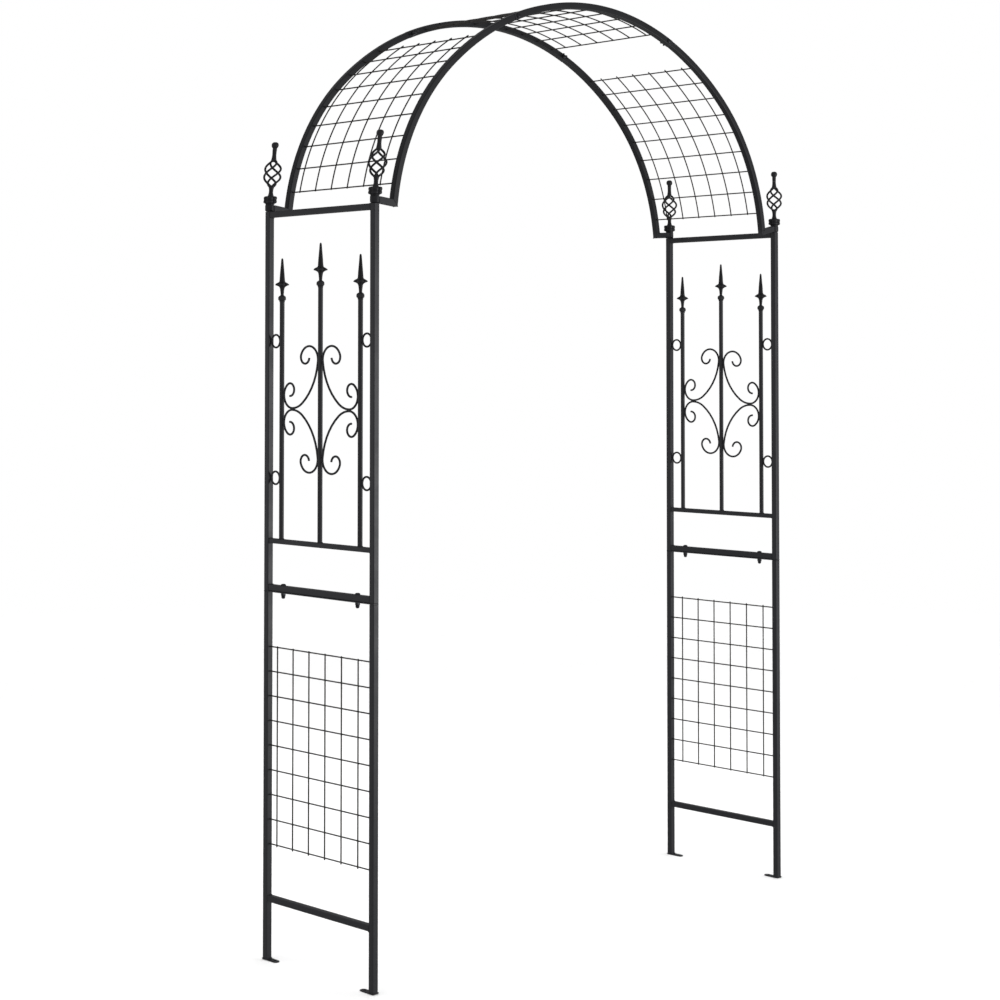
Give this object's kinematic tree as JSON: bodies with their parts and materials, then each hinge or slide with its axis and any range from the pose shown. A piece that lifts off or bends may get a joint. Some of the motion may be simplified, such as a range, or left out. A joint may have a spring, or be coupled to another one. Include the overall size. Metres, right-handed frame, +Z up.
{
  "type": "garden arbour",
  "caption": "Free-standing garden arbour of square steel tube: side frames with scrolls and wire mesh, joined by a walk-through arch with mesh roof.",
  "frame": {"origin": "on the ground, at the centre of the bounding box's underside, midway between the four posts", "axes": "+Z up; X runs from one side frame to the other across the walkway; Y runs through the arch, front at -Y"},
  "size_m": [1.4464, 0.4076, 2.2168],
  "materials": {
    "frame_coat": "satin black powder coat",
    "cast_coat": "satin black powder coat on castings",
    "wire_coat": "satin black powder coat on wire",
    "bolt_coat": "black zinc and paint"
  },
  "bodies": {
    "root": {"left_front_lower_post": "frame_coat", "left_front_upper_post": "frame_coat", "left_front_rod": "cast_coat", "left_front_scrolls": "wire_coat", "left_front_arch_leg": "frame_coat", "left_front_finial": "cast_coat", "left_front_frame_bolt": "bolt_coat", "left_front_wing_bolt": "bolt_coat", "left_rear_lower_post": "frame_coat", "left_rear_upper_post": "frame_coat", "left_rear_rod": "cast_coat", "left_rear_scrolls": "wire_coat", "left_rear_arch_leg": "frame_coat", "left_rear_finial": "cast_coat", "left_rear_frame_bolt": "bolt_coat", "left_rear_wing_bolt": "bolt_coat", "left_strap": "frame_coat", "left_bottom_rail": "frame_coat", "left_middle_rail": "frame_coat", "left_rod_rail": "frame_coat", "left_top_rail": "frame_coat", "left_grid": "wire_coat", "left_centre_rod": "cast_coat", "left_arch_mesh": "wire_coat", "right_front_lower_post": "frame_coat", "right_front_upper_post": "frame_coat", "right_front_rod": "cast_coat", "right_front_scrolls": "wire_coat", "right_front_arch_leg": "frame_coat", "right_front_finial": "cast_coat", "right_front_frame_bolt": "bolt_coat", "right_front_wing_bolt": "bolt_coat", "right_rear_lower_post": "frame_coat", "right_rear_upper_post": "frame_coat", "right_rear_rod": "cast_coat", "right_rear_scrolls": "wire_coat", "right_rear_arch_leg": "frame_coat", "right_rear_finial": "cast_coat", "right_rear_frame_bolt": "bolt_coat", "right_rear_wing_bolt": "bolt_coat", "right_strap": "frame_coat", "right_bottom_rail": "frame_coat", "right_middle_rail": "frame_coat", "right_rod_rail": "frame_coat", "right_top_rail": "frame_coat", "right_grid": "wire_coat", "right_centre_rod": "cast_coat", "right_arch_mesh": "wire_coat", "front_arch_crown": "frame_coat", "rear_arch_crown": "frame_coat", "crown_mesh": "wire_coat"}
  },
  "joints": []
}
